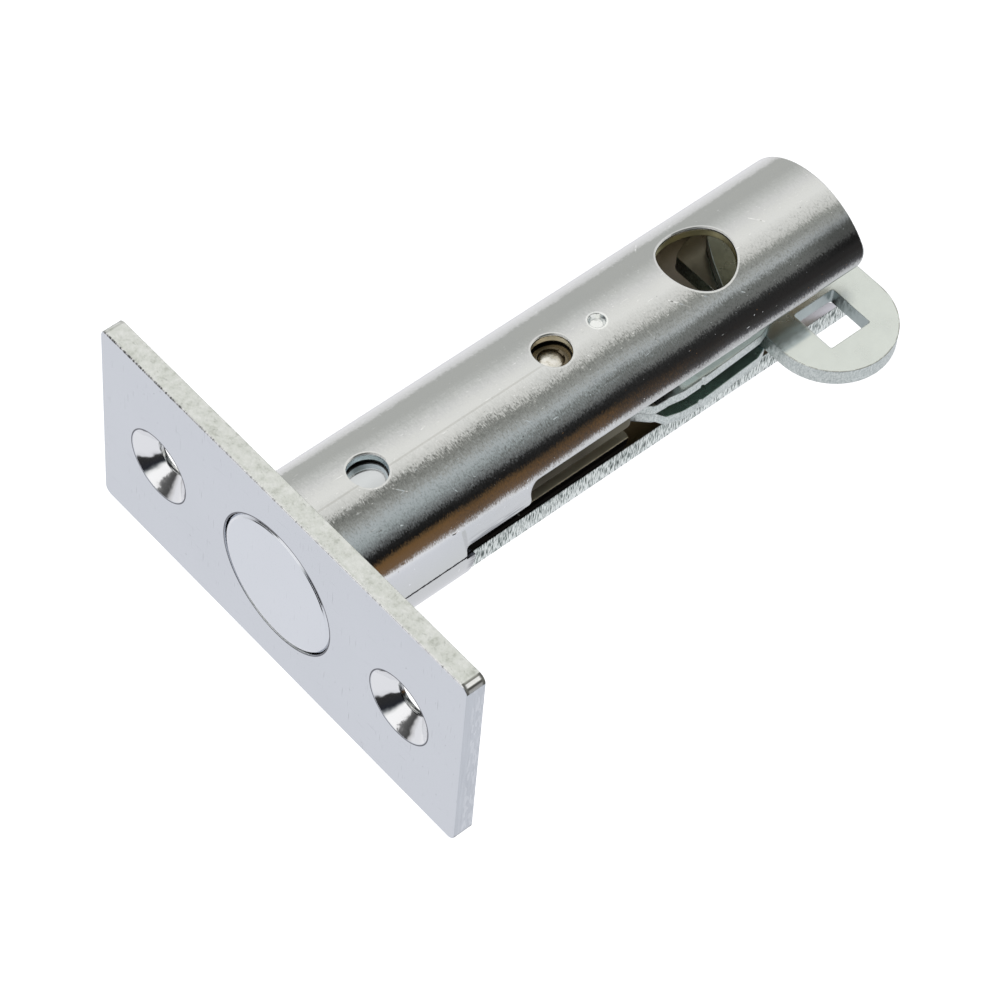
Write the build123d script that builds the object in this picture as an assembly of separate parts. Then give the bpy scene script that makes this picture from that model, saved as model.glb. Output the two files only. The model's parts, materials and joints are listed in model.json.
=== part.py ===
from build123d import *
import os
from math import asin, cos, degrees, pi, sin, sqrt

# Door bolt for the edge of a door, at rest with its bolt drawn in.
# The origin is on the bolt's axis at the front of the faceplate. +X is the way that the bolt is thrown,
# +Z runs along the faceplate towards the crank's lobe, and the assembly holes of the tube face -Y.
# A place "back" is a distance behind the front of the faceplate, and "up" is a height over the bolt's axis.

# Faceplate
plate_thickness = 2.5
plate_width = 28.0
plate_height = 58.5
plate_corner_radius = 1.0
plate_edge_rounding = 0.15
screw_spacing = 39.4
screw_hole_radius = 2.3
countersink_radius = 4.5
countersink_depth = 2.0
tube_seat_depth = 1.0
tube_seat_clearance = 0.05

# Bolt
bolt_clearance = 0.075
bolt_length = 42.8
bolt_front_chamfer = 0.25
bolt_rear_rounding = 1.2
bolt_hole_clearance = 0.125
bolt_slot_front = 22.0
bolt_slot_clearance = 0.1

# Tube
tube_radius = 10.0
tube_wall = 1.45
tube_end = 76.5
seam_width = 0.2
seam_offset = 0.4
assembly_hole_back = 12.0
assembly_hole_radius = 2.3
pin_hole_radius = 2.3
rivet_hole_back = 58.5
rivet_hole_radius = 4.5
dimple_gap = 1.1
dimple_radius = 1.1
dimple_mouth_radius = 1.5
dimple_floor_radius = 0.7
dimple_depth = 0.7
slot_front = 17.6
slot_floor_front = 18.8
slot_floor_drop = 2.0
narrow_slot_side = 2.0
wide_slot_front = 26.7
wide_slot_side = 4.3
slot_inner_corner = 1.5
slot_outer_corner = 0.5
slot_mouth_flare = 1.6

# Crank, turned by a square spindle
hub_back = 69.8
hub_height_over_tube = 1.0
crank_thickness = 2.1
crank_half_width = 7.5
rivet_to_crank_end = 3.1
crank_corner_radius = 0.8
spindle_square = 6.0
spindle_corner_radius = 0.3
turn = 90.0

# Link of two stamped plates, from the bolt's pin to the crank's rivet
link_thickness = 1.4
link_gap = 2.6
pin_back = 37.5
pin_radius = 1.5
pin_end_setback = 0.35
pin_end_chamfer = 0.3
running_clearance = 0.05
tongue_radius = 4.0
joggle_start = 8.7
joggle_steep_length = 1.2
joggle_steep_rise = 0.95
joggle_length = 5.3
rivet_radius = 1.5
rivet_head_radius = 2.2
rivet_head_depth = 0.6
rivet_eye_radius = 3.0
rivet_eye_clearance = 0.75
nick_back = 52.0
nick_radius = 0.35
rivet_slot_clearance = 0.15

tube_inner_radius = tube_radius - tube_wall
tube_front = plate_thickness - tube_seat_depth
bolt_radius = tube_inner_radius - bolt_clearance
slot_floor_up = tube_radius - slot_floor_drop
hub_up = tube_radius + hub_height_over_tube
rivet_back = hub_back
rivet_up = rivet_eye_radius + rivet_eye_clearance - tube_inner_radius
crank_arm = hub_up - rivet_up
crank_reach = crank_arm + rivet_to_crank_end
link_length = sqrt((rivet_back - pin_back) ** 2 + rivet_up ** 2)
link_rest_angle = asin(rivet_up / link_length)

# Side view of the link: its upper edge as (back, drop under the tube's top), its lower edge as (back, height
# over the rivet)
UPPER_EDGE = [(44.2, 3.6), (45.8, 2.1), (47.2, 1.4), (49.3, 0.9), (52.0, 0.8), (61.0, 1.25), (62.3, 1.7),
              (63.8, 2.7), (69.6, 6.4)]
LOWER_EDGE = [(65.8, -0.4), (64.0, 2.6), (62.4, 5.8), (48.0, 6.0)]
tongue_upper_end = 41.5
tongue_lower_end = (42.0, -3.4)
nick_drop = 0.65

# How far a cutter runs past the face that it starts from, and the steps along curves that are worked out
overrun = 1.0
PATH_STEPS = 24
FLARE_STEPS = 6


def rod_x(radius, back_from, back_to, y=0, z=0):
    """Round bar along X between two places behind the faceplate's front."""
    return Pos(-(back_from + back_to) / 2, y, z) * Rot(0, 90, 0) * Cylinder(radius, back_to - back_from)


def rod_y(radius, y_from, y_to, back, up=0):
    """Round bar along Y."""
    return Pos(-back, (y_from + y_to) / 2, up) * Rot(90, 0, 0) * Cylinder(radius, y_to - y_from)


def block(back_from, back_to, y_from, y_to, z_from, z_to):
    """Rectangular block between two places on each axis."""
    centre = Pos(-(back_from + back_to) / 2, (y_from + y_to) / 2, (z_from + z_to) / 2)
    return centre * Box(back_to - back_from, y_to - y_from, z_to - z_from)


def side_profile(points, y_from, y_to):
    """Closed side view of (back, up) points, made solid along Y."""
    wire = Polyline(*[(-back, y_from, up) for back, up in points], close=True)
    return extrude(make_face(wire), amount=y_to - y_from, dir=(0, 1, 0))


def plan_profile(points, z_from, z_to):
    """Closed plan of (back, y) points, made solid along Z."""
    wire = Polyline(*[(-back, y, z_from) for back, y in points], close=True)
    return extrude(make_face(wire), amount=z_to - z_from, dir=(0, 0, 1))


def bolt_travel():
    """Throw of the bolt when the crank has made its whole turn."""
    end_angle = turn * pi / 180
    end_back = hub_back - crank_arm * sin(end_angle)
    end_up = hub_up - crank_arm * cos(end_angle)
    return pin_back - (end_back - sqrt(link_length ** 2 - end_up ** 2))


def link_swing():
    """Angle in radians through which the link rises about the bolt's pin over the whole turn."""
    end_up = hub_up - crank_arm * cos(turn * pi / 180)
    return asin(end_up / link_length) - link_rest_angle


def rivet_in_crank(share):
    """Distance from the hub, and offset to the front, of the rivet in the crank at a share of the travel."""
    link_angle = link_rest_angle + share * link_swing()
    back = pin_back - share * bolt_travel() + link_length * cos(link_angle) - hub_back
    up = link_length * sin(link_angle) - hub_up
    crank_angle = share * turn * pi / 180
    along = -back * sin(crank_angle) - up * cos(crank_angle)
    across = -back * cos(crank_angle) + up * sin(crank_angle)
    return along, across


def make_faceplate():
    plate = block(0, plate_thickness, -plate_width / 2, plate_width / 2, -plate_height / 2, plate_height / 2)
    plate = fillet(plate.edges().filter_by(Axis.X), plate_corner_radius)
    plate = fillet(plate.faces().sort_by(Axis.X)[-1].edges(), plate_edge_rounding)
    plate -= rod_x(bolt_radius + bolt_hole_clearance, -overrun, plate_thickness + overrun)
    plate -= rod_x(tube_radius + tube_seat_clearance, tube_front, plate_thickness + overrun)
    for side in (-1, 1):
        up = side * screw_spacing / 2
        cone = Rot(0, 90, 0) * Cone(screw_hole_radius, countersink_radius, countersink_depth)
        plate -= Pos(-countersink_depth / 2, 0, up) * cone
        plate -= rod_x(screw_hole_radius, -overrun, plate_thickness + overrun, z=up)
    return plate


def corner_at(solid, back, end):
    """Upright edge of a cutter at a place behind the faceplate: end 0 is nearest -Y, end -1 nearest +Y."""
    edges = solid.edges().filter_by(Axis.Z).filter_by_position(Axis.X, -back - 0.01, -back + 0.01)
    return edges.sort_by(Axis.Y)[end]


def slot_cutters():
    """The long stepped slot along the top of the tube, open at the rear."""
    past_end = tube_end + slot_mouth_flare
    top = tube_radius + overrun
    outline = [(slot_front, 0), (slot_front, -narrow_slot_side), (wide_slot_front, -narrow_slot_side),
               (wide_slot_front, -wide_slot_side)]
    for step in range(FLARE_STEPS + 1):
        angle = step / FLARE_STEPS * pi / 2
        outline.append((tube_end - slot_mouth_flare * (1 - sin(angle)),
                        -wide_slot_side - slot_mouth_flare * (1 - cos(angle))))
    outline += [(past_end, -wide_slot_side - slot_mouth_flare), (past_end, 0)]
    side = plan_profile(outline, tube_inner_radius / 2, top)
    side = fillet(corner_at(side, wide_slot_front, 0), slot_inner_corner)
    side = fillet(corner_at(side, wide_slot_front, -1), slot_outer_corner)
    side = fillet(corner_at(side, slot_front, 0), slot_outer_corner)
    floor = block(slot_floor_front, past_end, -seam_offset, tube_radius, slot_floor_up, top)
    return side, floor


def make_tube_case():
    tube = rod_x(tube_radius, tube_front, tube_end)
    tube -= rod_x(tube_inner_radius, tube_front - overrun, tube_end + overrun)
    dimple_back = bolt_length + dimple_gap
    dent = Pos(-dimple_back, dimple_depth - tube_inner_radius - tube_wall / 2, 0) * Rot(-90, 0, 0)
    tube += dent * Cone(dimple_radius, dimple_floor_radius, tube_wall)
    recess = Pos(-dimple_back, (dimple_depth - overrun) / 2 - tube_radius, 0) * Rot(-90, 0, 0)
    tube -= recess * Cone(dimple_mouth_radius, dimple_floor_radius, dimple_depth + overrun)
    for cutter in slot_cutters():
        tube -= cutter
    tube -= block(tube_front - overrun, slot_front + overrun, -seam_offset - seam_width / 2,
                  -seam_offset + seam_width / 2, tube_inner_radius / 2, tube_radius + overrun)
    for back, radius in ((assembly_hole_back, assembly_hole_radius), (pin_back, pin_hole_radius),
                         (rivet_hole_back, rivet_hole_radius)):
        tube -= rod_y(radius, -tube_radius - overrun, -tube_inner_radius / 2, back)
    return tube


def make_bolt():
    bolt = rod_x(bolt_radius, 0, bolt_length)
    bolt = chamfer(bolt.faces().sort_by(Axis.X)[-1].edges(), bolt_front_chamfer)
    bolt = fillet(bolt.faces().sort_by(Axis.X)[0].edges(), bolt_rear_rounding)
    slot_half = link_thickness + bolt_slot_clearance
    bolt -= block(bolt_slot_front, bolt_length + overrun, -slot_half, slot_half, -bolt_radius, bolt_radius)
    bolt -= rod_y(pin_radius, -bolt_radius, bolt_radius, pin_back)
    return bolt


def make_bolt_pin():
    half = bolt_radius - pin_end_setback
    pin = rod_y(pin_radius, -half, half, pin_back)
    return chamfer(pin.edges().filter_by(GeomType.CIRCLE), pin_end_chamfer)


def make_link_rivet():
    half = link_gap / 2 + link_thickness
    rivet = rod_y(rivet_radius, -half, half, rivet_back, rivet_up)
    for side in (-1, 1):
        head = Rot(-90 * side, 0, 0) * Cone(rivet_radius, rivet_head_radius, rivet_head_depth)
        rivet += Pos(-rivet_back, side * (half - rivet_head_depth / 2), rivet_up) * head
    return rivet


def make_link_plate(rivet):
    """The plate on the +Y side: its tongue lies against the mid plane and its arm stands off it."""
    half_gap = link_gap / 2
    outer = half_gap + link_thickness
    eye_rear = rivet_back + rivet_eye_radius
    side_view = [(pin_back, tongue_radius), (tongue_upper_end, tongue_radius)]
    side_view += [(back, tube_radius - drop) for back, drop in UPPER_EDGE]
    side_view += [(eye_rear, rivet_up + rivet_eye_radius), (eye_rear, rivet_up)]
    side_view += [(rivet_back, rivet_up - rivet_eye_radius)]
    side_view += [(back, rivet_up + height) for back, height in LOWER_EDGE]
    side_view += [tongue_lower_end, (pin_back, -tongue_radius)]
    plate = side_profile(side_view, 0, outer)
    plate += rod_y(tongue_radius, 0, outer, pin_back)
    plate += rod_y(rivet_eye_radius, 0, outer, rivet_back, rivet_up)
    front = pin_back - tongue_radius - overrun
    rear = eye_rear + overrun
    start = pin_back + joggle_start
    knee = start + joggle_steep_length
    end = start + joggle_length
    inner_edge = [(front, 0), (start, 0), (knee, joggle_steep_rise), (end, half_gap), (rear, half_gap)]
    outer_edge = [(back, y + link_thickness) for back, y in reversed(inner_edge)]
    plate &= plan_profile(inner_edge + outer_edge, -tube_radius, tube_radius)
    plate -= rod_y(nick_radius, 0, outer, nick_back, tube_radius - nick_drop)
    plate -= rod_y(pin_radius + running_clearance, -overrun, outer, pin_back)
    return plate - rivet


def make_hub_crank():
    half = crank_thickness / 2
    crank = rod_y(crank_half_width, -half, half, hub_back, hub_up)
    crank += block(hub_back - crank_half_width, hub_back + crank_half_width, -half, half,
                   hub_up - crank_reach, hub_up)
    crank &= rod_y(crank_reach, -half, half, hub_back, hub_up)
    lower_end = (hub_up - crank_reach, hub_up - crank_arm / 2)
    ends = crank.edges().filter_by(Axis.Y).filter_by_position(Axis.Z, *lower_end)
    crank = fillet(ends, crank_corner_radius)
    square_half = spindle_square / 2
    square = block(hub_back - square_half, hub_back + square_half, -half - overrun, half + overrun,
                   hub_up - square_half, hub_up + square_half)
    crank -= fillet(square.edges().filter_by(Axis.Y), spindle_corner_radius)
    path = [rivet_in_crank(step / PATH_STEPS) for step in range(PATH_STEPS + 1)]
    reach = rivet_radius + rivet_slot_clearance
    along = [point[0] for point in path]
    across = [point[1] for point in path]
    opening = block(hub_back - max(across) - reach, hub_back - min(across) + reach, -half - overrun,
                    half + overrun, hub_up - max(along) - reach, hub_up - min(along) + reach)
    return crank - fillet(opening.edges().filter_by(Axis.Y), reach)


def save(name, solid):
    export_step(solid, f"parts/{name}.step")


os.makedirs("parts", exist_ok=True)
link_rivet = make_link_rivet()
link_plate_left = make_link_plate(link_rivet)
nodes = {
    "faceplate": make_faceplate(),
    "tube_case": make_tube_case(),
    "bolt": make_bolt(),
    "bolt_pin": make_bolt_pin(),
    "link_plate_left": link_plate_left,
    "link_plate_right": mirror(link_plate_left, about=Plane.XZ),
    "link_rivet": link_rivet,
    "hub_crank": make_hub_crank(),
}
for name, solid in nodes.items():
    save(name, solid)
print(f"bolt travel {bolt_travel():.4f} mm, link swing {degrees(link_swing()):.4f} degrees")
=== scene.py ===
import json
from math import cos, pi, radians, sin

import bmesh
import bpy
from mathutils import Matrix, Vector


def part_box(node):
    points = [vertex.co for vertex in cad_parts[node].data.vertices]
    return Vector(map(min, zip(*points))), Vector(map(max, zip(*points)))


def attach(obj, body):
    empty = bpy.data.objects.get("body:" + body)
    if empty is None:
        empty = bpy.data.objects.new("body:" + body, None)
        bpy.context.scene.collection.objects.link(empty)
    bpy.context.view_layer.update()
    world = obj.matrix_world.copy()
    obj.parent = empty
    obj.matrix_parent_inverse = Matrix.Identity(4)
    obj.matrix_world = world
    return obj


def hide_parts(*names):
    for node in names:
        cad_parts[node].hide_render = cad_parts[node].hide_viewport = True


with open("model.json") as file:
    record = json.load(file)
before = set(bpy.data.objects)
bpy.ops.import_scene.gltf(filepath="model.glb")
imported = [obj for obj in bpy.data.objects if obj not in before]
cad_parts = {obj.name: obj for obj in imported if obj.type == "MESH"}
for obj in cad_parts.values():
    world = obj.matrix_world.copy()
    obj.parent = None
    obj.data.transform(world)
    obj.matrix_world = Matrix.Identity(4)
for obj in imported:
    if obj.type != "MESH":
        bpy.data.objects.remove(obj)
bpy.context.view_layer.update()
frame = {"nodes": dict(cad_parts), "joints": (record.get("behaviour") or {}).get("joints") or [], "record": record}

MM = 0.001
PER_MM = 1000.0

# Camera: the photograph's place and angles, in the row frame
CAMERA_PLACE = Vector((158.82, -344.87, 186.96)) * MM
CAMERA_AZIMUTH = radians(28.113)
CAMERA_ELEVATION = radians(24.798)
CAMERA_ROLL = radians(133.662)
FOCAL_IN_PIXELS = 4064.2
PHOTO_PIXELS = 1000
SENSOR_MM = 36.0
NEAREST_SEEN = 0.01

# Sizes in millimetres that the frame gives
joints = {joint["name"]: joint for joint in frame["joints"]}
mounts = {mount["name"]: mount for mount in frame["record"]["mounts"]}
plate_low, plate_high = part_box("faceplate")
tube_low, tube_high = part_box("tube_case")
PLATE_THICKNESS = -plate_low.x * PER_MM
PLATE_HALF_WIDTH = plate_high.y * PER_MM
PLATE_HALF_HEIGHT = plate_high.z * PER_MM
SCREW_UP = mounts["faceplate_screws"]["dims"]["spacing_y_mm"] / 2
SCREW_HOLE_RADIUS = mounts["faceplate_screws"]["dims"]["hole_r_mm"]
TUBE_RADIUS = (tube_high.y - tube_low.y) / 2 * PER_MM
TUBE_LENGTH = -tube_low.x * PER_MM
PIN_BACK = -joints["link_swing"]["pos_m"][0] * PER_MM
HUB_BACK = -joints["hub_turn"]["pos_m"][0] * PER_MM
HUB_UP = joints["hub_turn"]["pos_m"][2] * PER_MM

# Sizes in millimetres that repeat the CAD's
CORNER_RADIUS = 1.0
SCREW_RIM_RADIUS = 4.5
BOLT_HOLE_RADIUS = 8.6
TUBE_WALL = 1.45
TUBE_INSIDE = TUBE_RADIUS - TUBE_WALL
HOLE_BACKS = (12.0, 37.5, 58.5)
HOLE_RADII = (2.3, 2.3, 4.5)
DIMPLE_BACK = 43.9
DIMPLE_RADIUS = 1.5
SEAM_SIDE = -0.4
SLOT_FRONT = 17.6
SLOT_SIDE = 2.0
SLOT_FLOOR = 8.0
FLOOR_FRONT = 18.8
LOBE_RADIUS = 7.5
SQUARE = 6.0

# Places in millimetres of what is painted
RIM_LINE = 0.16
BOLT_RIM_RADIUS = 7.98
DULL_FROM = 26.5
# Where the bolt's painted shade starts on its side, away from the slot and at it
SHADE_SIDE = 0.2
SHADE_SIDE_AT_SLOT = 1.30
CHEEK_LINE = 7.86
SCRATCH_WIDTH = 0.10

# The hammered ends of the bolt's pin, with lengths in millimetres
PIN_RADIUS = 1.49
PIN_DOME = 0.25
PIN_SIDES = 48
PIN_DENTS = 5
PIN_DENT_DEPTH = 0.05
PIN_DENT_TWIST = 40

# Studio, with lengths in metres and power in watts
FLOOR_SIZE = 3.0
FLOOR_DROP = 0.30
FLOOR_GLOW = 0.75
SOFTBOX_PLACE = (0.2, 0.9, 0.5)
SOFTBOX_AIM = (-0.03, 0, 0)
SOFTBOX_SIZE = 0.8
SOFTBOX_POWER = 1.6


def set_camera():
    back = Vector((sin(CAMERA_AZIMUTH) * cos(CAMERA_ELEVATION), -cos(CAMERA_AZIMUTH) * cos(CAMERA_ELEVATION),
                   sin(CAMERA_ELEVATION)))
    level_right = Vector((cos(CAMERA_AZIMUTH), sin(CAMERA_AZIMUTH), 0))
    level_up = back.cross(level_right)
    right = level_right * cos(CAMERA_ROLL) + level_up * sin(CAMERA_ROLL)
    up = level_up * cos(CAMERA_ROLL) - level_right * sin(CAMERA_ROLL)
    data = bpy.data.cameras.new("photo_camera")
    data.sensor_width = SENSOR_MM
    data.lens = FOCAL_IN_PIXELS / PHOTO_PIXELS * SENSOR_MM
    data.clip_start = NEAREST_SEEN
    camera = bpy.data.objects.new("photo_camera", data)
    bpy.context.scene.collection.objects.link(camera)
    camera.matrix_world = Matrix.Translation(CAMERA_PLACE) @ Matrix((right, up, back)).transposed().to_4x4()
    bpy.context.scene.camera = camera


def grey(level):
    return (level, level, level)


class Nodes:
    """Short calls for building a node tree. A mask is a number from 0 to 1."""

    def __init__(self, tree):
        self.tree = tree
        tree.nodes.clear()

    def set(self, socket, value):
        """Another node's output is linked to the socket. A number, vector or colour is stored in it."""
        if isinstance(value, bpy.types.NodeSocket):
            self.tree.links.new(value, socket)
        elif socket.type == "RGBA":
            socket.default_value = (*value, 1.0)
        else:
            socket.default_value = value

    def add(self, kind, inputs=None, **settings):
        node = self.tree.nodes.new(kind)
        for name, value in settings.items():
            setattr(node, name, value)
        for socket, value in (inputs or {}).items():
            self.set(node.inputs[socket], value)
        return node

    def math(self, operation, first, second=0.0, third=0.0, clamp=False):
        inputs = {0: first, 1: second, 2: third}
        return self.add("ShaderNodeMath", inputs, operation=operation, use_clamp=clamp).outputs[0]

    def vector_math(self, operation, first, second=(0, 0, 0), output="Vector"):
        inputs = {0: first, 1: second}
        return self.add("ShaderNodeVectorMath", inputs, operation=operation).outputs[output]

    def share(self, vector, *amounts):
        """The vector times all the amounts."""
        inputs = {0: vector, "Scale": self.all_of(*amounts)}
        return self.add("ShaderNodeVectorMath", inputs, operation="SCALE").outputs[0]

    def vector(self, x=0.0, y=0.0, z=0.0):
        return self.add("ShaderNodeCombineXYZ", {0: x, 1: y, 2: z}).outputs[0]

    def parts(self, vector):
        return self.add("ShaderNodeSeparateXYZ", {0: vector}).outputs

    def hypotenuse(self, first, second):
        squares = self.math("ADD", self.math("POWER", first, 2.0), self.math("POWER", second, 2.0))
        return self.math("SQRT", squares)

    def plus(self, base, mask, amount):
        """The base, and the mask's share of the amount on top of it."""
        return self.math("MULTIPLY_ADD", mask, amount, base)

    def inverse(self, mask):
        return self.math("SUBTRACT", 1.0, mask)

    def all_of(self, *masks):
        """The product of masks and numbers."""
        total = masks[0]
        for mask in masks[1:]:
            total = self.math("MULTIPLY", total, mask)
        return total

    def any_of(self, *masks):
        """The largest of the masks."""
        total = masks[0]
        for mask in masks[1:]:
            total = self.math("MAXIMUM", total, mask)
        return total

    def step(self, value, low, high):
        """0 at low and 1 at high, smooth between them."""
        inputs = {0: value, 1: low, 2: high, 3: 0.0, 4: 1.0}
        return self.add("ShaderNodeMapRange", inputs, interpolation_type="SMOOTHSTEP").outputs[0]

    def within(self, value, low_end, low, high, high_end):
        """1 from low to high, and smoothly down to 0 at both ends."""
        return self.all_of(self.step(value, low_end, low), self.step(value, high_end, high))

    def near(self, value, centre, far, close):
        """1 closer to the centre than close, and 0 further than far."""
        return self.step(self.math("ABSOLUTE", self.math("SUBTRACT", value, centre)), far, close)

    def ramp(self, value, stops):
        node = self.add("ShaderNodeValToRGB", {0: value})
        elements = node.color_ramp.elements
        for element, (place, colour) in zip(elements, (stops[0], stops[-1])):
            element.position = place
            element.color = (*colour, 1.0)
        for place, colour in stops[1:-1]:
            elements.new(place).color = (*colour, 1.0)
        return node.outputs[0]

    def mix(self, factor, first, second):
        return self.add("ShaderNodeMix", {0: factor, 6: first, 7: second}, data_type="RGBA").outputs[2]

    def paint(self, colour, new_colour, *masks):
        """The new colour over the old one, where all the masks are 1."""
        return self.mix(self.all_of(*masks), colour, new_colour)


class Surface(Nodes):
    """A material's nodes, with the place on the part in millimetres and the true normal, in the row frame."""

    def __init__(self, name):
        self.material = bpy.data.materials.new(name)
        self.material.use_nodes = True
        super().__init__(self.material.node_tree)
        self.place = self.share(self.add("ShaderNodeTexCoord").outputs["Object"], PER_MM)
        self.x, self.y, self.z = self.parts(self.place)
        geometry = self.add("ShaderNodeNewGeometry")
        self.normal_x, self.normal_y, self.normal_z = self.parts(geometry.outputs["True Normal"])

    def noise_node(self, scale, detail, roughness, offset, turn=(0, 0, 0)):
        mapping = {"Vector": self.place, "Location": grey(offset), "Rotation": turn, "Scale": scale}
        moved = self.add("ShaderNodeMapping", mapping).outputs[0]
        inputs = {"Vector": moved, "Scale": 1.0, "Detail": detail, "Roughness": roughness}
        return self.add("ShaderNodeTexNoise", inputs)

    def noise(self, scale, detail, roughness=0.5, offset=0.0):
        """Noise whose grain is 1/scale mm long along each axis."""
        return self.noise_node(scale, detail, roughness, offset).outputs["Fac"]

    def scratches(self, scale, turn, threshold, offset=0.0):
        """Thin marks: the crests of a noise stretched along one direction. 1 on a mark."""
        crests = self.noise_node(scale, 1.0, 0.5, offset, turn).outputs["Fac"]
        return self.step(crests, threshold, threshold + 0.03)

    def jitter(self, scale, swing, detail=2.0, offset=0.0):
        """A small random vector: its grain is 1/scale mm long, and swing is its size along each axis."""
        random = self.noise_node(scale, detail, 0.55, offset).outputs["Color"]
        return self.vector_math("MULTIPLY", self.vector_math("SUBTRACT", random, grey(0.5)), swing)

    def tilted(self, edge_mm, *pushes):
        """The surface's normal, rounded at the edges over edge_mm and pushed aside by small vectors."""
        total = self.add("ShaderNodeBevel", {"Radius": edge_mm * MM}, samples=6).outputs[0]
        for push in pushes:
            total = self.vector_math("ADD", total, push)
        return self.vector_math("NORMALIZE", total)

    def ring(self, centre_z, radius, width):
        """1 on a thin ring around an axis along X that crosses the Z axis at centre_z."""
        from_axis = self.hypotenuse(self.y, self.math("SUBTRACT", self.z, centre_z))
        return self.near(from_axis, radius + width / 2, width / 2 + 0.05, width / 2 - 0.05)

    def stroke(self, place, start, end, width):
        """1 on a straight scratch between two places on the unrolled surface."""
        reach = Vector(end) - Vector(start)
        offset = self.vector_math("SUBTRACT", place, (*start, 0))
        along = self.vector_math("DOT_PRODUCT", offset, (*reach, 0), "Value")
        part = self.math("DIVIDE", along, reach.length_squared, clamp=True)
        gap = self.vector_math("DISTANCE", offset, self.share((*reach, 0), part), "Value")
        return self.step(gap, width, width * 0.3)

    def metal(self, colour, roughness, normal):
        inputs = {"Base Color": colour, "Roughness": roughness, "Metallic": 1.0, "Normal": normal}
        shader = self.add("ShaderNodeBsdfPrincipled", inputs)
        self.add("ShaderNodeOutputMaterial", {0: shader.outputs[0]})
        return shader


# In the materials the numbers of a step are places in millimetres, parts of a normal or levels of a noise


def plate_face(nodes, haze):
    """Plating, nearly a mirror, with faint scratches and specks, which are fewer on the plate's back."""
    marks = nodes.scratches((0.2, 0.3, 8.0), (radians(38), 0, 0), 0.72)
    other_marks = nodes.scratches((0.2, 9.0, 0.35), (radians(-14), 0, 0), 0.73, 7.0)
    specks = nodes.step(nodes.noise(grey(1.7), 1.0), 0.75, 0.80)
    wear = nodes.any_of(marks, other_marks, specks)
    less_behind = nodes.plus(0.3, nodes.step(nodes.normal_x, -0.9, -0.5), 0.7)
    face = nodes.mix(haze, (0.73, 0.75, 0.79), (0.70, 0.72, 0.76))
    return nodes.paint(face, (0.38, 0.39, 0.41), wear, less_behind, 0.5)


def plate_long_edge(nodes):
    """Matt grainy metal with darker scuffs."""
    grain = nodes.noise(grey(1.1), 6.0, 0.65)
    matt = nodes.ramp(grain, [
        (0.30, (0.60, 0.62, 0.57)),
        (0.44, (0.78, 0.80, 0.76)),
        (0.66, (0.90, 0.91, 0.89)),
    ])
    scuffs = nodes.step(nodes.noise((2.6, 2.6, 1.2), 3.0, 0.6), 0.63, 0.70)
    return nodes.paint(matt, (0.40, 0.42, 0.38), scuffs, 0.4)


def plate_short_edge(nodes):
    """Smooth metal with lengthwise streaks, and slanted lighter marks on its rear half."""
    streaks = nodes.noise((2.5, 0.12, 2.5), 3.0, 0.6)
    drawn = nodes.ramp(streaks, [(0.3, (0.56, 0.58, 0.62)), (0.7, (0.64, 0.66, 0.70))])
    slanted = nodes.scratches((3.0, 0.7, 1.0), (0, 0, radians(40)), 0.5)
    return nodes.paint(drawn, (0.82, 0.83, 0.86), slanted, nodes.step(nodes.x, -0.8, -1.2), 0.35)


def paint_plate_arris(nodes, colour):
    """Painted reflections along the near long arris of the front: dark dashes between bright stretches, more
    dashes at its lower end.
    """
    at_side = nodes.step(nodes.y, -PLATE_HALF_WIDTH + 0.24, -PLATE_HALF_WIDTH + 0.10)
    dashes = nodes.plus(nodes.noise((0.3, 0.3, 2.6), 4.0, 0.75), nodes.step(nodes.z, -27.0, 2.0), 0.16)
    dashes = nodes.ramp(dashes, [(0.47, grey(0.10)), (0.54, grey(0.62)), (0.66, grey(0.95))])
    return nodes.paint(colour, dashes, nodes.step(nodes.x, -0.22, -0.10), at_side)


def paint_plate_corners(nodes, colour):
    """A painted glint between painted dark reflections on the four rounded corners, fainter on the two lower ones.
    """
    around_y = nodes.math("SUBTRACT", nodes.math("ABSOLUTE", nodes.y), PLATE_HALF_WIDTH - CORNER_RADIUS)
    around_z = nodes.math("SUBTRACT", nodes.math("ABSOLUTE", nodes.z), PLATE_HALF_HEIGHT - CORNER_RADIUS)
    off_faces = nodes.step(nodes.math("ABSOLUTE", nodes.normal_x), 0.5, 0.3)
    fainter_below = nodes.plus(0.3, nodes.step(nodes.z, -1.0, 1.0), 0.7)
    in_corner = nodes.all_of(nodes.step(around_y, 0.0, 0.1), nodes.step(around_z, 0.0, 0.1), off_faces,
                             fainter_below)
    # Painted highlight and painted dark reflections across the rounding of each corner
    glint_and_dark_reflections = nodes.ramp(nodes.math("MULTIPLY", nodes.math("ARCTAN2", around_y, around_z), 2 / pi), [
        (0.10, (0.62, 0.63, 0.66)),
        (0.30, grey(0.40)),
        (0.40, grey(0.05)),
        (0.50, (0.16, 0.16, 0.15)),
        (0.56, grey(1.0)),
        (0.76, grey(1.0)),
        (0.83, (0.20, 0.20, 0.18)),
        (1.0, (0.60, 0.61, 0.57)),
    ])
    off_ends = nodes.within(nodes.x, -PLATE_THICKNESS + 0.18, -PLATE_THICKNESS + 0.50, -0.50, -0.22)
    glint_and_dark_reflections = nodes.mix(off_ends, (0.16, 0.16, 0.15), glint_and_dark_reflections)
    push = nodes.share(nodes.vector(y=nodes.y), in_corner, 0.3)
    return nodes.paint(colour, glint_and_dark_reflections, in_corner), push


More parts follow.
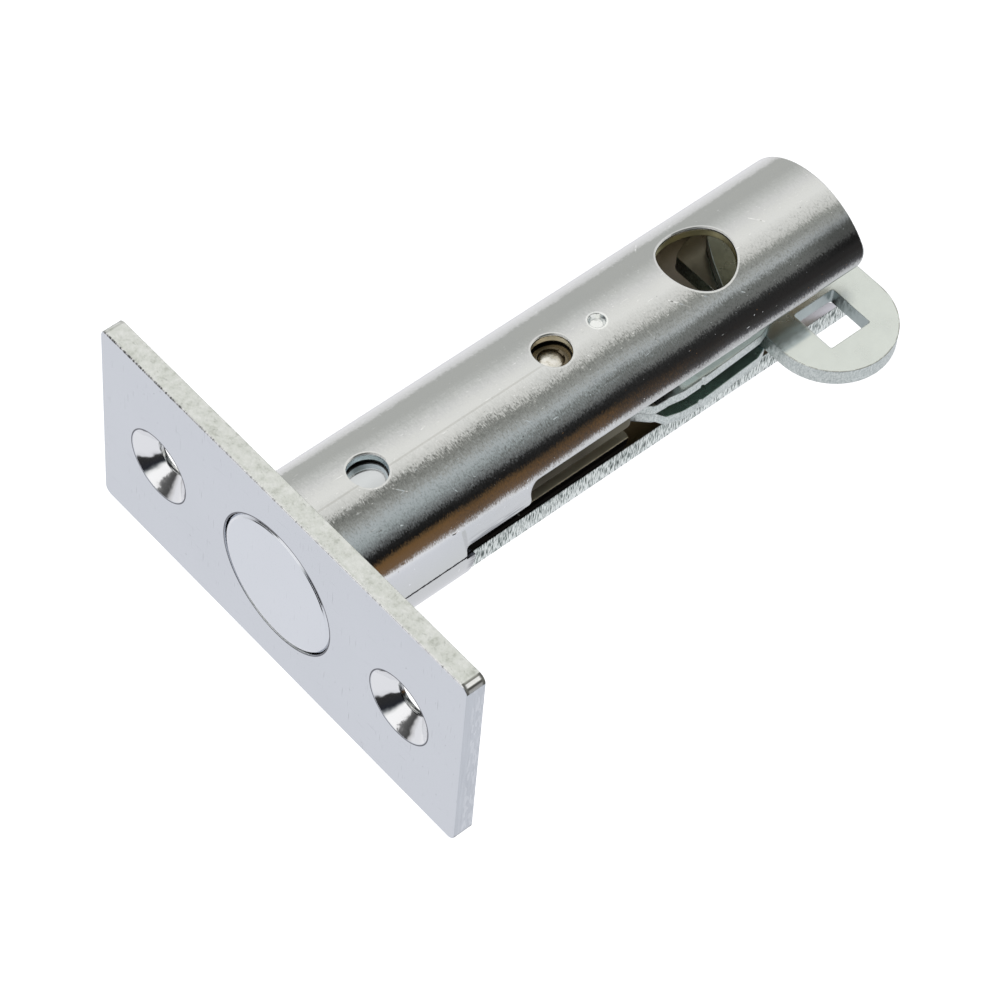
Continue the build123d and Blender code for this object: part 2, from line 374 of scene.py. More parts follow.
def paint_screw_holes(nodes, colour):
    """Bright countersinks, and the fine rings of drilling in the holes."""
    from_screw = nodes.math("SUBTRACT", nodes.math("ABSOLUTE", nodes.z), SCREW_UP)
    from_screw = nodes.hypotenuse(from_screw, nodes.y)
    off_faces = nodes.within(nodes.x, -PLATE_THICKNESS + 0.04, -PLATE_THICKNESS + 0.10, -0.05, -0.01)
    in_sink = nodes.all_of(nodes.step(from_screw, SCREW_RIM_RADIUS, SCREW_RIM_RADIUS - 0.1), off_faces)
    drilled = nodes.ramp(nodes.noise((4.0, 0.5, 0.5), 3.0, 0.7, 2.0), [
        (0.42, (0.04, 0.04, 0.045)),
        (0.50, (0.45, 0.46, 0.46)),
        (0.58, grey(0.93)),
    ])
    in_hole = nodes.step(from_screw, SCREW_HOLE_RADIUS + 0.12, SCREW_HOLE_RADIUS + 0.05)
    colour = nodes.paint(colour, (0.90, 0.90, 0.91), in_sink)
    colour = nodes.paint(colour, drilled, in_hole)
    facets = nodes.share(nodes.jitter(grey(0.9), grey(0.11), 1.0, 5.0), in_sink)
    return colour, facets


def plate_material():
    """Bright plated front, nearly a mirror, on a plate whose sheared edges are matt and grainy."""
    nodes = Surface("polished_plate")
    long_edge = nodes.step(nodes.math("ABSOLUTE", nodes.normal_y), 0.6, 0.9)
    short_edge = nodes.step(nodes.math("ABSOLUTE", nodes.normal_z), 0.6, 0.9)
    haze = nodes.noise(grey(0.10), 3.0)
    colour = nodes.mix(long_edge, plate_face(nodes, haze), plate_long_edge(nodes))
    colour = nodes.mix(short_edge, colour, plate_short_edge(nodes))
    colour = paint_plate_arris(nodes, colour)
    colour, corner_push = paint_plate_corners(nodes, colour)
    colour, facets = paint_screw_holes(nodes, colour)
    # Painted shade and dark reflection: thin dark lines along the rims of the bolt's hole and of the countersinks
    rims = [nodes.ring(0, BOLT_HOLE_RADIUS, RIM_LINE)]
    for screw in (-SCREW_UP, SCREW_UP):
        rims.append(nodes.ring(screw, SCREW_RIM_RADIUS, RIM_LINE))
    at_front = nodes.step(nodes.normal_x, 0.8, 0.95)
    colour = nodes.paint(colour, (0.10, 0.10, 0.12), nodes.any_of(*rims), at_front)
    roughness = nodes.plus(0.05, haze, 0.06)
    roughness = nodes.plus(roughness, long_edge, 0.34)
    roughness = nodes.plus(roughness, short_edge, 0.16)
    sway = nodes.jitter(grey(0.15), grey(0.03))
    rough_grain = nodes.share(nodes.jitter(grey(3.0), grey(0.9), 4.0), long_edge)
    nodes.metal(colour, roughness, nodes.tilted(0.12, sway, rough_grain, facets, corner_push))
    return nodes.material


def bolt_steel(nodes):
    """Dull olive steel, darker on the near cheek of the slot, with painted shade on the cheek's outer band and a
    painted highlight towards its rear end.
    """
    smear = nodes.noise((0.25, 0.9, 0.9), 3.0)
    cheek = nodes.mix(smear, (0.042, 0.037, 0.026), (0.125, 0.110, 0.078))
    # Painted highlight: the cheek is lighter towards its rear end
    cheek = nodes.paint(cheek, (0.19, 0.175, 0.13), nodes.step(nodes.x, -34.5, -41.0))
    # Painted shade: the cheek's outer band is darker
    cheek = nodes.paint(cheek, (0.055, 0.048, 0.034), nodes.step(nodes.y, -2.2, -3.2))
    olive = nodes.mix(smear, (0.46, 0.40, 0.29), (0.85, 0.77, 0.60))
    return nodes.paint(olive, cheek, nodes.step(nodes.y, -1.3, -1.5))


def bolt_material():
    """Chromed bolt: bright in front, and dull olive steel around the link's slot, with black painted shade by the
    slot and a painted highlight line on its cheek.
    """
    nodes = Surface("bolt_chrome")
    x, y, z = nodes.x, nodes.y, nodes.z
    at_slot = nodes.step(x, -DULL_FROM + 0.2, -DULL_FROM - 0.2)
    near_top = nodes.step(z, 3.5, 5.5)
    dull = nodes.all_of(at_slot, near_top)
    on_cheek = nodes.all_of(nodes.step(y, 1.2, 1.4), nodes.step(nodes.normal_y, -0.6, -0.8), at_slot)
    shade_from = nodes.plus(SHADE_SIDE, at_slot, SHADE_SIDE_AT_SLOT - SHADE_SIDE)
    # Painted shade: black on the bolt's side by the slot and on the top of the slot's cheek
    painted_shade = nodes.all_of(nodes.step(nodes.math("SUBTRACT", y, shade_from), 0.0, 0.15), near_top,
                        nodes.step(x, -SLOT_FRONT + 1.0, -SLOT_FRONT), nodes.inverse(on_cheek))
    painted_shade = nodes.any_of(painted_shade, nodes.all_of(on_cheek, nodes.step(z, CHEEK_LINE, CHEEK_LINE + 0.05)))
    # Painted highlight: a pale line along the cheek, just below its painted shade
    highlight_line = nodes.all_of(on_cheek, nodes.near(z, CHEEK_LINE - 0.06, 0.09, 0.05))

    haze = nodes.noise(grey(0.10), 3.0, 0.5, 3.0)
    marks = nodes.scratches((0.2, 0.3, 8.0), (radians(-30), 0, 0), 0.72, 4.0)
    from_pin = nodes.hypotenuse(nodes.math("ADD", x, PIN_BACK), z)
    colour = nodes.mix(haze, (0.80, 0.82, 0.86), (0.77, 0.79, 0.83))
    # Painted shade: the bolt's side is darker than its front face
    colour = nodes.paint(colour, (0.64, 0.66, 0.68), nodes.step(x, -0.5, -1.0))
    colour = nodes.paint(colour, (0.45, 0.46, 0.48), marks, 0.35)
    colour = nodes.paint(colour, bolt_steel(nodes), dull)
    # Painted shade: dark brown around the pin
    colour = nodes.paint(colour, (0.15, 0.125, 0.085), nodes.step(from_pin, 2.5, 2.2))
    colour = nodes.paint(colour, (1.0, 0.94, 0.80), highlight_line)
    colour = nodes.paint(colour, (0.008, 0.007, 0.006), painted_shade)

    roughness = nodes.plus(0.06, haze, 0.06)
    roughness = nodes.plus(roughness, dull, 0.45)
    roughness = nodes.plus(roughness, highlight_line, 0.35)
    roughness = nodes.all_of(roughness, nodes.plus(1.0, nodes.step(x, -0.4, -0.3), -0.5))
    at_rim = nodes.step(nodes.hypotenuse(y, z), BOLT_RIM_RADIUS - 0.04, BOLT_RIM_RADIUS + 0.04)
    at_rim = nodes.all_of(at_rim, nodes.step(nodes.normal_x, 0.95, 0.99))
    rim = nodes.share(nodes.vector(y=y, z=z), at_rim, 1.2 / BOLT_RIM_RADIUS)
    sway = nodes.jitter(grey(0.2), grey(0.03))
    shader = nodes.metal(colour, roughness, nodes.tilted(0.12, sway, rim))
    # The painted shade has no sheen: no metal and no specular there
    unshaded = nodes.inverse(painted_shade)
    nodes.set(shader.inputs["Metallic"], unshaded)
    nodes.set(shader.inputs["Specular IOR Level"], nodes.all_of(unshaded, 0.5))
    return nodes.material


# Scratches on the tube: distance behind the front in mm and angle from +Z towards -Y in degrees, at both ends
TUBE_SCRATCHES = [
    ((52.0, 75), (53.6, 64)),
    ((54.3, 71), (54.6, 69)),
    ((55.6, 66), (56.0, 64)),
    ((60.0, 54.5), (60.3, 53)),
    ((47.7, 66), (48.0, 57)),
    ((12.7, 71), (13.8, 65)),
    ((18.4, 52), (18.7, 48)),
    ((54.5, 122), (55.8, 131)),
    ((66.5, 92), (67.6, 84)),
    ((29.5, 63), (30.2, 58)),
]


def tube_nicks(nodes, radius, turned):
    """Scattered small scratches and the longer ones of the list: 1 on a mark."""
    marks = nodes.scratches((2.2, 0.35, 7.0), (0, radians(25), 0), 0.735)
    other_marks = nodes.scratches((0.5, 2.6, 5.0), (radians(40), 0, radians(30)), 0.75, 5.0)
    nicks = nodes.any_of(marks, other_marks)
    unrolled = nodes.vector(nodes.all_of(nodes.x, -1.0), nodes.all_of(turned, TUBE_RADIUS))
    for ends in TUBE_SCRATCHES:
        start, end = [(back, radians(degrees) * TUBE_RADIUS) for back, degrees in ends]
        nicks = nodes.any_of(nicks, nodes.stroke(unrolled, start, end, SCRATCH_WIDTH))
    return nodes.all_of(nicks, nodes.step(radius, TUBE_RADIUS - 0.1, TUBE_RADIUS - 0.05))


def tube_skin(nodes, turned, nicks):
    """Plating outside, with speckles on its darker side, nicks, a drawn line and dashes along the seam."""
    waves = nodes.noise((0.22, 0.1, 0.1), 2.0)
    speckle = nodes.step(nodes.noise((4.5, 3.5, 3.5), 3.0, 0.6, 6.0), 0.48, 0.66)
    darker_side = nodes.within(turned, radians(34), radians(44), radians(72), radians(82))
    drawn_line = nodes.all_of(nodes.near(turned, radians(84.3), 0.018, 0.004),
                              nodes.step(nodes.x, -38.0, -33.0))
    by_seam = nodes.all_of(nodes.near(nodes.y, SEAM_SIDE, 0.26, 0.14), nodes.step(nodes.z, 8.0, 9.0))
    dashes = nodes.step(nodes.noise((2.2, 3.0, 1.0), 3.0, 0.7), 0.47, 0.53)
    colour = nodes.mix(waves, (0.66, 0.67, 0.67), (0.70, 0.70, 0.69))
    colour = nodes.paint(colour, (0.40, 0.41, 0.40), speckle, darker_side, 0.5)
    colour = nodes.paint(colour, grey(0.92), nicks, 0.6)
    colour = nodes.paint(colour, (0.40, 0.39, 0.36), drawn_line, 0.35)
    return nodes.paint(colour, (0.20, 0.20, 0.22), by_seam, dashes)


def tube_inner_colour(nodes, radius, in_wall):
    """Oily brown bore, and cut faces that change from steel in front to painted shade, dark brown, at the large
    hole.
    """
    soot = nodes.noise(grey(0.4), 3.0)
    bore = nodes.mix(soot, (0.34, 0.29, 0.21), (0.50, 0.44, 0.34))
    # The ramp's last stop is painted shade at the large hole
    cut = nodes.ramp(nodes.math("MULTIPLY", nodes.x, -1 / TUBE_LENGTH), [
        (0.20, (0.84, 0.93, 0.96)),
        (0.36, (0.92, 0.84, 0.66)),
        (0.60, (0.92, 0.84, 0.66)),
        (0.72, (0.40, 0.37, 0.22)),
    ])
    cut = nodes.paint(cut, (0.70, 0.72, 0.75), nodes.step(nodes.z, 6.5, 7.5))
    cut = nodes.paint(cut, (0.74, 0.74, 0.68), nodes.step(radius, TUBE_RADIUS - 0.45, TUBE_RADIUS - 0.3))
    beyond_crank = nodes.all_of(nodes.step(nodes.x, -65.0, -66.0), nodes.step(nodes.y, 0.8, 1.4),
                                nodes.step(nodes.z, 3.0, 4.0))
    bore = nodes.paint(bore, (0.56, 0.55, 0.60), beyond_crank)
    cut = nodes.paint(cut, (0.56, 0.55, 0.60), beyond_crank)
    cut = nodes.paint(cut, (0.62, 0.63, 0.62), nodes.step(nodes.x, -TUBE_LENGTH + 0.35, -TUBE_LENGTH + 0.15))
    return nodes.mix(in_wall, bore, cut)


def sheared_floor(nodes):
    """The slot's flat floor: short dark and bright streaks across it."""
    streaks = nodes.plus(nodes.noise((8.5, 0.9, 0.9), 3.0, 0.6), nodes.step(nodes.y, 3.0, 6.0), 0.03)
    return nodes.ramp(streaks, [
        (0.37, (0.03, 0.045, 0.04)),
        (0.46, (0.36, 0.41, 0.39)),
        (0.55, (0.93, 0.96, 0.93)),
    ])


def paint_slot_sides(nodes, colour, crease):
    """Painted shade along the crease in front of the slot, and painted dark reflection in streaks along the near
    edge of its narrow part.
    """
    narrow_part = nodes.within(nodes.x, -DULL_FROM - 0.3, -DULL_FROM + 1.5, -SLOT_FRONT - 1.0, -SLOT_FRONT)
    # Painted dark reflection in streaks along the near edge of the slot's narrow part
    dark_reflection_edge = nodes.all_of(nodes.step(nodes.y, -3.1, -SLOT_SIDE), nodes.step(nodes.z, 9.0, 9.3),
                             narrow_part)
    streaks = nodes.step(nodes.noise((0.35, 5.0, 5.0), 2.0, 0.5, 1.0), 0.38, 0.58)
    # Painted shade along the crease
    colour = nodes.paint(colour, (0.34, 0.34, 0.37), crease, 0.30)
    return nodes.paint(colour, (0.20, 0.20, 0.22), dark_reflection_edge, streaks, 0.75)


def hole_rims(nodes, radius):
    """1 on the burnished rims of the tube's three holes."""
    rims = []
    for back, hole_radius in zip(HOLE_BACKS, HOLE_RADII):
        from_hole = nodes.hypotenuse(nodes.math("ADD", nodes.x, back), nodes.z)
        rims.append(nodes.near(from_hole, hole_radius, 0.22, 0.12))
    return nodes.all_of(nodes.any_of(*rims), nodes.step(radius, TUBE_RADIUS - 0.32, TUBE_RADIUS - 0.22))


def tube_material():
    """Plated rolled sheet: fine rings of brushing outside, oily brown inside, sheared faces at the cuts."""
    nodes = Surface("plated_tube")
    x, y, z = nodes.x, nodes.y, nodes.z
    radius = nodes.hypotenuse(y, z)
    turned = nodes.math("ARCTAN2", nodes.all_of(y, -1.0), z)
    near_side = nodes.step(y, -6.0, -7.0)
    in_wall = nodes.step(radius, TUBE_INSIDE, TUBE_INSIDE + 0.1)
    from_dimple = nodes.hypotenuse(nodes.math("ADD", x, DIMPLE_BACK), z)
    in_dimple = nodes.all_of(nodes.step(from_dimple, DIMPLE_RADIUS + 0.3, DIMPLE_RADIUS + 0.2),
                             nodes.step(radius, TUBE_INSIDE + 0.1, TUBE_INSIDE + 0.3), near_side)
    inside = nodes.all_of(nodes.step(radius, TUBE_RADIUS - 0.2, TUBE_RADIUS - 0.7), nodes.inverse(in_dimple))
    on_floor = nodes.all_of(nodes.step(nodes.normal_z, 0.98, 0.995), nodes.near(z, SLOT_FLOOR, 0.1, 0.05))
    # Painted shade: the inner part of the walls of the two small holes, black
    shaded_hole_foot = nodes.all_of(nodes.step(radius, TUBE_INSIDE + 0.35, TUBE_INSIDE + 0.2), near_side,
                             nodes.step(x, -HOLE_BACKS[1] - 3.5, -HOLE_BACKS[1] - 3.0))
    # Painted shade: the far wall of the slot behind the floor's front, black
    shaded_far_wall = nodes.all_of(nodes.step(nodes.normal_y, -0.7, -0.9), nodes.step(z, 6.5, 7.0),
                            nodes.step(y, -0.8, -0.6), nodes.step(x, -FLOOR_FRONT - 0.2, -FLOOR_FRONT - 0.1))
    # The crease in front of the slot: painted shade and a bump
    crease = nodes.all_of(nodes.near(x, -SLOT_FRONT, 0.30, 0.10), nodes.step(z, 7.0, 8.0),
                          nodes.within(y, -4.2, -3.6, -SLOT_SIDE, -SLOT_SIDE + 0.8))
    rear_shade = nodes.all_of(nodes.within(turned, radians(38), radians(44), radians(54), radians(64)),
                              nodes.step(x, -67.0, -75.0))

    nicks = tube_nicks(nodes, radius, turned)
    colour = tube_skin(nodes, turned, nicks)
    colour = nodes.paint(colour, tube_inner_colour(nodes, radius, in_wall), inside)
    colour = nodes.paint(colour, (0.010, 0.009, 0.008), shaded_hole_foot)
    colour = nodes.paint(colour, sheared_floor(nodes), on_floor)
    colour = nodes.paint(colour, (0.012, 0.011, 0.010), shaded_far_wall)
    colour = paint_slot_sides(nodes, colour, crease)
    # Painted highlight: the dimple's floor is paler than the plating
    dimple_highlight = nodes.step(from_dimple, DIMPLE_RADIUS - 0.2, DIMPLE_RADIUS - 0.35)
    colour = nodes.paint(colour, (0.88, 0.89, 0.88), in_dimple, dimple_highlight)
    colour = nodes.paint(colour, grey(0.08), rear_shade, 0.55)

    roughness = nodes.plus(0.075, inside, 0.24)
    roughness = nodes.plus(roughness, nodes.step(z, 6.5, 3.0), 0.03)
    roughness = nodes.plus(roughness, on_floor, 0.20)

    hairs = nodes.jitter((8.0, 0.9, 0.9), (0.04, 0.14, 0.14), 3.0)
    hairs = nodes.share(hairs, nodes.plus(0.2, nodes.step(z, 7.0, 4.0), 0.8),
                        nodes.plus(1.0, nodes.step(x, -44.0, -58.0), -0.45))
    fine = nodes.jitter((7.0, 3.5, 3.5), (0.10, 0.15, 0.15), 2.0, 3.0)
    fine = nodes.share(fine, nodes.plus(0.45, nodes.step(z, 8.2, 7.2), 0.55))
    sway = nodes.jitter((0.12, 0.10, 0.10), (0.04, 0.07, 0.07), 2.0, 9.0)
    shear = nodes.share(nodes.jitter((4.0, 0.4, 0.3), (1.6, 0.6, 0.0), 4.0), on_floor)
    dents = nodes.share(nodes.jitter(grey(1.5), grey(1.2)), nicks)
    crease_push = nodes.share((-0.5, 0, 0), crease)
    burnish = nodes.share((0, -0.55, 0), inside, in_wall, nodes.step(z, 7.0, 6.0), nodes.step(y, -5.0, -6.0))
    rim_light = nodes.share((0, -4.4, 0), hole_rims(nodes, radius), near_side)
    pushes = (hairs, fine, sway, shear, dents, crease_push, burnish, rim_light)
    nodes.metal(colour, roughness, nodes.tilted(0.18, *pushes))
    return nodes.material


def zinc_material():
    """Zinc plated stamping: pale satin faces, grey grainy edges with the streaks of shearing across them."""
    nodes = Surface("zinc_steel")
    x, y, z = nodes.x, nodes.y, nodes.z
    edge = nodes.step(nodes.math("ABSOLUTE", nodes.normal_y), 0.8, 0.5)
    side = nodes.math("MULTIPLY", nodes.normal_y, y)
    facing_in = nodes.step(side, -0.3, -0.8)
    facing_out = nodes.all_of(nodes.step(side, 2.4, 2.6), nodes.step(z, 9.2, 8.6))
    across = nodes.math("ABSOLUTE", nodes.math("ADD", x, HUB_BACK))
    upward = nodes.math("ABSOLUTE", nodes.math("SUBTRACT", z, HUB_UP))
    in_square = nodes.step(nodes.any_of(across, upward), SQUARE / 2 + 0.3, SQUARE / 2 + 0.1)
    # Painted shade on the crank beside its square, darker towards its top
    before_square = nodes.all_of(
        nodes.within(x, -HUB_BACK + 2.9, -HUB_BACK + 3.6, -HUB_BACK + 14, -HUB_BACK + 16),
        nodes.within(z, HUB_UP - 4.5, HUB_UP - 4.0, HUB_UP - 0.1, HUB_UP + 0.5),
        nodes.step(nodes.math("ABSOLUTE", y), 1.25, 1.15))
    shaded = nodes.ramp(nodes.math("MULTIPLY", z, 0.05), [
        (0.38, (0.70, 0.80, 0.83)),
        (0.475, (0.68, 0.79, 0.81)),
        (0.50, (0.62, 0.71, 0.73)),
        (0.53, (0.46, 0.52, 0.53)),
    ])
    burr = nodes.all_of(nodes.step(nodes.hypotenuse(across, upward), LOBE_RADIUS - 0.17, LOBE_RADIUS - 0.10),
                        nodes.step(z, HUB_UP - 1.0, HUB_UP + 1.0),
                        nodes.step(nodes.noise(grey(0.9), 3.0, 0.6, 4.0), 0.40, 0.52))

    mottle = nodes.noise(grey(0.35), 4.0, 0.6)
    colour = nodes.mix(mottle, (0.735, 0.772, 0.735), (0.6762, 0.7102, 0.6762))
    colour = nodes.paint(colour, (0.76, 0.90, 0.84), facing_in)
    colour = nodes.paint(colour, (0.62, 0.69, 0.65), facing_out)
    colour = nodes.paint(colour, shaded, before_square)
    colour = nodes.paint(colour, (0.30, 0.29, 0.25), burr, 0.6)
    streaks = nodes.noise((4.5, 2.6, 4.5), 4.0, 0.75)
    sheared = nodes.ramp(streaks, [
        (0.36, (0.46, 0.50, 0.49)),
        (0.50, (0.62, 0.66, 0.64)),
        (0.64, (0.78, 0.81, 0.79)),
    ])
    sheared = nodes.paint(sheared, nodes.mix(mottle, (0.30, 0.34, 0.34), (0.56, 0.62, 0.61)), in_square)
    colour = nodes.paint(colour, sheared, edge)

    roughness = nodes.plus(0.20, mottle, 0.12)
    roughness = nodes.plus(roughness, edge, 0.12)
    skin = nodes.jitter(grey(1.2), grey(0.10), 4.0)
    shear = nodes.share(nodes.jitter((4.0, 0.6, 4.0), (0.6, 0.3, 0.6), 3.0), edge)
    lit_above = nodes.share((0, 0, 0.65), facing_out)
    nodes.metal(colour, roughness, nodes.tilted(0.15, skin, shear, lit_above))
    return nodes.material


def pin_material():
    """Peened steel: pale, dented by the riveting tool, with brown grime in the dents."""
    nodes = Surface("pin_steel")
    grime = nodes.noise(grey(1.6), 4.0, 0.65)
    colour = nodes.ramp(grime, [
        (0.32, (0.46, 0.42, 0.34)),
        (0.44, (0.84, 0.81, 0.74)),
        (0.66, (0.98, 0.96, 0.92)),
    ])
    dents = nodes.jitter(grey(1.8), grey(0.3), 3.0)
    nodes.metal(colour, nodes.plus(0.22, grime, 0.2), nodes.tilted(0.2, dents))
    return nodes.material


def make_peened_pin(material):
    """The bolt's pin with both ends peened over: a turned piece whose domes are dented by hammering."""
    low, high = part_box("bolt_pin")
    half = (high.y - low.y) / 2
    centre_x = (high.x + low.x) / 2
    radius = PIN_RADIUS * MM
    dome = PIN_DOME * MM
    rings = [(-half, 0.0), (-half + 0.15 * dome, 0.45 * radius), (-half + 0.45 * dome, 0.80 * radius),
             (-half + dome, radius), (half - dome, radius), (half - 0.45 * dome, 0.80 * radius),
             (half - 0.15 * dome, 0.45 * radius), (half, 0.0)]
    mesh = bmesh.new()
    loops = []
    for y, ring_radius in rings:
        if ring_radius == 0.0:
            loops.append([mesh.verts.new((centre_x, y, 0))])
            continue
        loop = []
        for step in range(PIN_SIDES):
            angle = 2 * pi * step / PIN_SIDES
            wave = 1 + cos(PIN_DENTS * angle + PIN_DENT_TWIST * y / radius)
            dented = ring_radius * (1 - PIN_DENT_DEPTH * wave * (ring_radius < radius))
            loop.append(mesh.verts.new((centre_x + dented * cos(angle), y, dented * sin(angle))))
        loops.append(loop)
    for first, second in zip(loops, loops[1:]):
        for step in range(PIN_SIDES):
            following = (step + 1) % PIN_SIDES
            corners = [first[step % len(first)], first[following % len(first)],
                       second[following % len(second)], second[step % len(second)]]
            mesh.faces.new(list(dict.fromkeys(corners)))
    bmesh.ops.recalc_face_normals(mesh, faces=mesh.faces)
    data = bpy.data.meshes.new("bolt_pin_peened")
    mesh.to_mesh(data)
    mesh.free()
    data.shade_smooth()
    data.materials.append(material)
    piece = bpy.data.objects.new("bolt_pin_peened", data)
    bpy.context.scene.collection.objects.link(piece)
    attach(piece, "bolt")
    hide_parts("bolt_pin")


def dress(node, material):
    mesh = frame["nodes"][node].data
    mesh.materials.clear()
    mesh.materials.append(material)


# The gaps' edges slant: further to the rear than GAP_SLANT_FROM they turn by up to GAP_SLANT degrees
GAP_SLANT = 16.0
GAP_SLANT_FROM = 0.405
GAP_SLANT_SPAN = 0.111
GAP_SLANT_POWER = 0.55

# The slant's share grows and falls between these angles from +Z towards -Y, in degrees
SLANT_GROWS = (44, 72)
SLANT_HALVES = (140, 178)
SLANT_BEHIND = (-140, -160)

# Along X, a direction passes from the rear wall to the side wall and on to the front wall
REAR_TO_SIDE = (-0.485, -0.405)
SIDE_TO_FRONT = (-0.20, 0.45)

# The studio's walls, by the angle from +Z towards -Y in degrees
SKY_BEHIND = [
    (-180, (0.57, 0.58, 0.56)),
    (-167, (0.55, 0.56, 0.54)),
    (-163, grey(0.82)),
    (-146, (0.93, 0.93, 0.95)),
    (-124, (0.80, 0.80, 0.84)),
    (-88, (0.79, 0.80, 0.84)),
    (-50, (0.81, 0.83, 0.86)),
]
REAR_GAPS = [
    (-10, (0.72, 0.74, 0.76)),
    (-5, (0.70, 0.71, 0.73)),
    (-2, (0.12, 0.12, 0.13)),
    (4, grey(0.05)),
    (14, (0.032, 0.030, 0.030)),
    (24, grey(0.030)),
    (29, grey(0.05)),
    (34, (0.19, 0.195, 0.19)),
    (46, (0.20, 0.21, 0.20)),
    (58, (0.54, 0.57, 0.58)),
    (68, (0.47, 0.485, 0.47)),
    (80, (0.37, 0.38, 0.36)),
    (86, (0.37, 0.38, 0.355)),
    (89, (0.45, 0.46, 0.43)),
]
SIDE_GAPS = [
    (-14, (0.86, 0.88, 0.95)),
    (-8, (0.95, 0.97, 1.04)),
    (-5, (1.08, 1.09, 1.13)),
    (-3, (0.33, 0.28, 0.25)),
    (0, (0.21, 0.13, 0.075)),
    (11, (0.20, 0.11, 0.045)),
    (15, (0.11, 0.07, 0.035)),
    (18, grey(0.010)),
    (27, grey(0.022)),
    (34, (0.18, 0.19, 0.195)),
    (46, (0.45, 0.50, 0.51)),
    (58, (0.56, 0.61, 0.63)),
    (70, (0.45, 0.465, 0.45)),
    (78, (0.29, 0.297, 0.278)),
    (86, (0.20, 0.205, 0.19)),
    (89, (0.27, 0.277, 0.258)),
]
SKY_BELOW = [
    (93, (0.74, 0.74, 0.71)),
    (98, (0.86, 0.86, 0.83)),
    (106, (0.92, 0.92, 0.89)),
    (118, (1.05, 1.05, 1.02)),
    (130, (1.01, 1.01, 0.98)),
    (142, (0.90, 0.90, 0.89)),
    (154, (0.74, 0.75, 0.73)),
    (168, (0.57, 0.58, 0.56)),
    (180, (0.57, 0.58, 0.56)),
]
FRONT_GAPS = [
    (-180, (0.60, 0.60, 0.61)),
    (-168, (0.80, 0.81, 0.84)),
    (-40, (0.80, 0.81, 0.84)),
    (-27, (0.72, 0.73, 0.76)),
    (-21, grey(0.03)),
    (28, (0.018, 0.020, 0.026)),
    (40, (0.15, 0.16, 0.17)),
    (56, (0.70, 0.71, 0.71)),
    (76, grey(1.0)),
    (136, grey(1.0)),
    (143, grey(0.14)),
    (172, grey(0.06)),
    (180, (0.60, 0.60, 0.61)),
]


def on_ramp(wall):
    """A wall's colours by their share of the full turn."""
    return [(degrees / 360 + 0.5, colour) for degrees, colour in wall]


def studio(nodes, direction):
    """Colour of the studio in one direction: pale walls with dark gaps, which change from rear to front."""
    x, y, z = nodes.parts(nodes.vector_math("NORMALIZE", direction))
    turn = nodes.all_of(nodes.math("ARCTAN2", nodes.all_of(y, -1.0), z), 180 / pi)
    to_rear = nodes.math("MULTIPLY_ADD", x, -1 / GAP_SLANT_SPAN, -GAP_SLANT_FROM / GAP_SLANT_SPAN, clamp=True)
    slant = nodes.all_of(nodes.math("POWER", to_rear, GAP_SLANT_POWER), GAP_SLANT)
    slant_share = nodes.plus(nodes.step(turn, *SLANT_GROWS), nodes.step(turn, *SLANT_HALVES), -0.5)
    slant_share = nodes.plus(slant_share, nodes.step(turn, *SLANT_BEHIND), 0.5)
    slanted_turn = nodes.plus(turn, slant, slant_share)
    share = nodes.plus(0.5, turn, 1 / 360)
    slanted_share = nodes.math("FRACT", nodes.plus(0.5, slanted_turn, 1 / 360))
    rear = nodes.ramp(slanted_share, on_ramp(SKY_BEHIND + REAR_GAPS + SKY_BELOW))
    side = nodes.ramp(slanted_share, on_ramp(SKY_BEHIND + SIDE_GAPS + SKY_BELOW))
    front = nodes.ramp(share, on_ramp(FRONT_GAPS))
    rear_to_side = nodes.mix(nodes.step(x, *REAR_TO_SIDE), rear, side)
    return nodes.mix(nodes.step(x, *SIDE_TO_FRONT), rear_to_side, front)


def make_world():
    """A pale studio with darker gaps, which polished metal shows as bands. The camera sees it white."""
    world = bpy.data.worlds.new("studio")
    bpy.context.scene.world = world
    world.use_nodes = True
    nodes = Nodes(world.node_tree)
    room = studio(nodes, nodes.add("ShaderNodeTexCoord").outputs["Generated"])
    light_path = nodes.add("ShaderNodeLightPath")
    colour = nodes.mix(light_path.outputs["Is Camera Ray"], room, grey(1.0))
    background = nodes.add("ShaderNodeBackground", {"Color": colour})
    nodes.add("ShaderNodeOutputWorld", {0: background.outputs[0]})


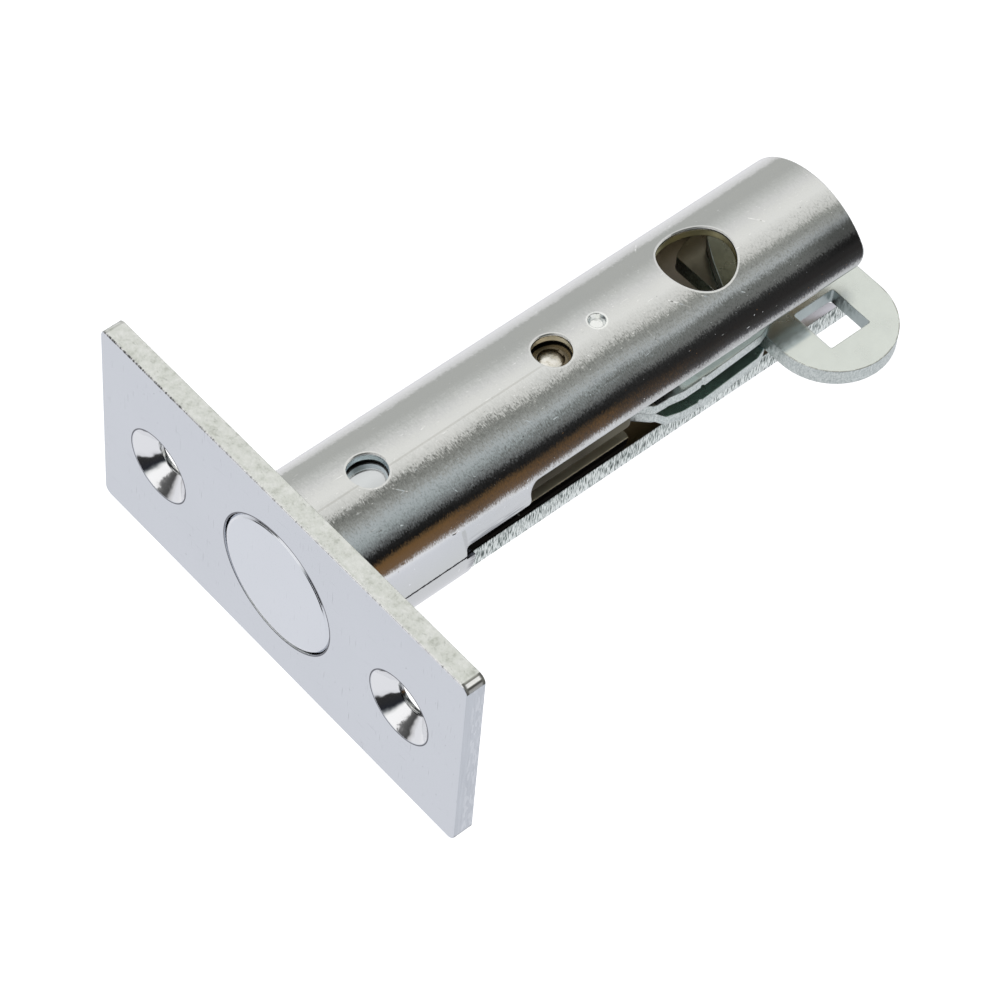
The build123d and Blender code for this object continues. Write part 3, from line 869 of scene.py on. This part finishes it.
def make_floor():
    """A pale floor that keeps the part's shadow. Metal and glass see the studio's lower wall in its place."""
    bpy.ops.mesh.primitive_plane_add(size=FLOOR_SIZE, location=(0, 0, plate_low.z - FLOOR_DROP))
    floor = bpy.context.object
    floor.name = "studio_floor"
    material = bpy.data.materials.new("floor_white")
    material.use_nodes = True
    nodes = Nodes(material.node_tree)
    light_path = nodes.add("ShaderNodeLightPath").outputs
    room = studio(nodes, nodes.add("ShaderNodeNewGeometry").outputs["Position"])
    diffuse = nodes.add("ShaderNodeBsdfDiffuse", {"Color": grey(0.85)})
    camera_glow = nodes.all_of(light_path["Is Camera Ray"], FLOOR_GLOW)
    glow = nodes.add("ShaderNodeEmission", {"Strength": camera_glow})
    seen = nodes.add("ShaderNodeAddShader", {0: diffuse.outputs[0], 1: glow.outputs[0]})
    mirrored = nodes.add("ShaderNodeEmission", {"Color": room})
    by_mirror = nodes.any_of(light_path["Is Glossy Ray"], light_path["Is Transmission Ray"])
    either = nodes.add("ShaderNodeMixShader", {0: by_mirror, 1: seen.outputs[0], 2: mirrored.outputs[0]})
    nodes.add("ShaderNodeOutputMaterial", {0: either.outputs[0]})
    floor.data.materials.append(material)


def add_softbox():
    """A large soft lamp that metal doesn't mirror."""
    data = bpy.data.lights.new("key_softbox", "AREA")
    data.shape = "SQUARE"
    data.size = SOFTBOX_SIZE
    data.energy = SOFTBOX_POWER
    lamp = bpy.data.objects.new("key_softbox", data)
    bpy.context.scene.collection.objects.link(lamp)
    lamp.location = SOFTBOX_PLACE
    lamp.rotation_euler = (Vector(SOFTBOX_AIM) - Vector(SOFTBOX_PLACE)).to_track_quat("-Z", "Y").to_euler()
    lamp.visible_glossy = False


set_camera()
make_world()
make_floor()
add_softbox()
bpy.context.scene.view_settings.view_transform = "Standard"

zinc = zinc_material()
pin_metal = pin_material()
dress("faceplate", plate_material())
dress("tube_case", tube_material())
dress("bolt", bolt_material())
for node in ("link_plate_left", "link_plate_right", "hub_crank"):
    dress(node, zinc)
for node in ("bolt_pin", "link_rivet"):
    dress(node, pin_metal)
make_peened_pin(pin_metal)
